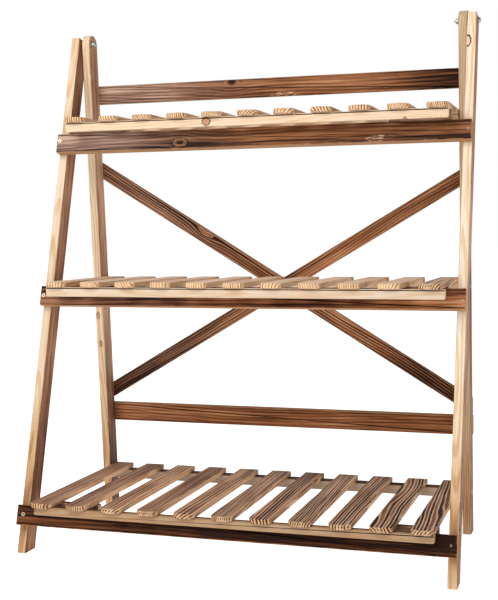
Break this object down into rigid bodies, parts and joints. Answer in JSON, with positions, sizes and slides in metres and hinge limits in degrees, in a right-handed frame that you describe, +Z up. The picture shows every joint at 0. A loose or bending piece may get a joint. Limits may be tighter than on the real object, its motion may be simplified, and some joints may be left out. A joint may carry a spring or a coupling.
{
  "type": "tiered plant stand",
  "caption": "Folding A-frame plant stand in torched wood: hinged leg ladders and slatted shelves, deepest at the bottom, that turn on pins and lock over the front rails.",
  "frame": {"origin": "middle of the footprint's bounding box, on the floor", "axes": "+X to the viewer's right from the front, +Y to the back, +Z up"},
  "size_m": [0.9416, 0.471, 1.1399],
  "materials": {
    "planed_wood": "planed softwood with a honey stain on its narrow faces and singed, brown wide faces, satin",
    "torched_wood": "softwood singed with a torch and brushed, dark brown with lighter grain stripes, satin lacquer",
    "zinc": "zinc plated steel, slightly dull"
  },
  "bodies": {
    "rear_frame": {"rear_leg_left": "planed_wood", "rear_leg_right": "planed_wood", "back_rail_lower": "torched_wood", "back_rail_upper": "torched_wood", "brace_falling": "torched_wood", "brace_rising": "torched_wood", "hinge_bolt_left": "zinc", "hinge_bolt_right": "zinc", "hinge_nut_left": "zinc", "hinge_nut_right": "zinc"},
    "front_frame": {"front_leg_left": "planed_wood", "front_leg_right": "planed_wood", "front_rail_lower": "torched_wood", "front_rail_middle": "torched_wood", "front_rail_upper": "torched_wood"},
    "shelf_lower": {"slat_lower_01": "torched_wood", "slat_lower_02": "torched_wood", "slat_lower_03": "torched_wood", "slat_lower_04": "torched_wood", "slat_lower_05": "torched_wood", "slat_lower_06": "torched_wood", "slat_lower_07": "torched_wood", "slat_lower_08": "torched_wood", "slat_lower_09": "torched_wood", "slat_lower_10": "torched_wood", "slat_lower_11": "torched_wood", "front_batten_lower": "planed_wood", "rear_batten_lower": "planed_wood", "lock_block_lower_left": "torched_wood", "lock_block_lower_right": "torched_wood"},
    "shelf_middle": {"slat_middle_01": "torched_wood", "slat_middle_02": "torched_wood", "slat_middle_03": "torched_wood", "slat_middle_04": "torched_wood", "slat_middle_05": "torched_wood", "slat_middle_06": "torched_wood", "slat_middle_07": "torched_wood", "slat_middle_08": "torched_wood", "slat_middle_09": "torched_wood", "slat_middle_10": "torched_wood", "slat_middle_11": "torched_wood", "front_batten_middle": "planed_wood", "rear_batten_middle": "planed_wood", "lock_block_middle_left": "torched_wood", "lock_block_middle_right": "torched_wood"},
    "shelf_upper": {"slat_upper_01": "torched_wood", "slat_upper_02": "torched_wood", "slat_upper_03": "torched_wood", "slat_upper_04": "torched_wood", "slat_upper_05": "torched_wood", "slat_upper_06": "torched_wood", "slat_upper_07": "torched_wood", "slat_upper_08": "torched_wood", "slat_upper_09": "torched_wood", "slat_upper_10": "torched_wood", "slat_upper_11": "torched_wood", "front_batten_upper": "planed_wood", "rear_batten_upper": "planed_wood", "lock_block_upper_left": "torched_wood", "lock_block_upper_right": "torched_wood"}
  },
  "joints": [
    {"name": "frame_fold", "type": "hinge", "parent": "rear_frame", "child": "front_frame", "pos_m": [0, 0.11925, 1.118], "axis": [1, 0, 0], "range_deg": [0, 19.5]},
    {"name": "shelf_lower_lift", "type": "hinge", "parent": "rear_frame", "child": "shelf_lower", "pos_m": [0, 0.19729, 0.09587], "axis": [-1, 0, 0], "range_deg": [0, 75]},
    {"name": "shelf_middle_lift", "type": "hinge", "parent": "rear_frame", "child": "shelf_middle", "pos_m": [0, 0.16149, 0.55587], "axis": [-1, 0, 0], "range_deg": [0, 71]},
    {"name": "shelf_upper_lift", "type": "hinge", "parent": "rear_frame", "child": "shelf_upper", "pos_m": [0, 0.13345, 0.91617], "axis": [-1, 0, 0], "range_deg": [0, 85]}
  ],
  "couplings": [
    {"joint": "shelf_lower_lift", "follows": "frame_fold", "ratio": 3.84},
    {"joint": "shelf_middle_lift", "follows": "frame_fold", "ratio": 3.64},
    {"joint": "shelf_upper_lift", "follows": "frame_fold", "ratio": 4.35}
  ]
}
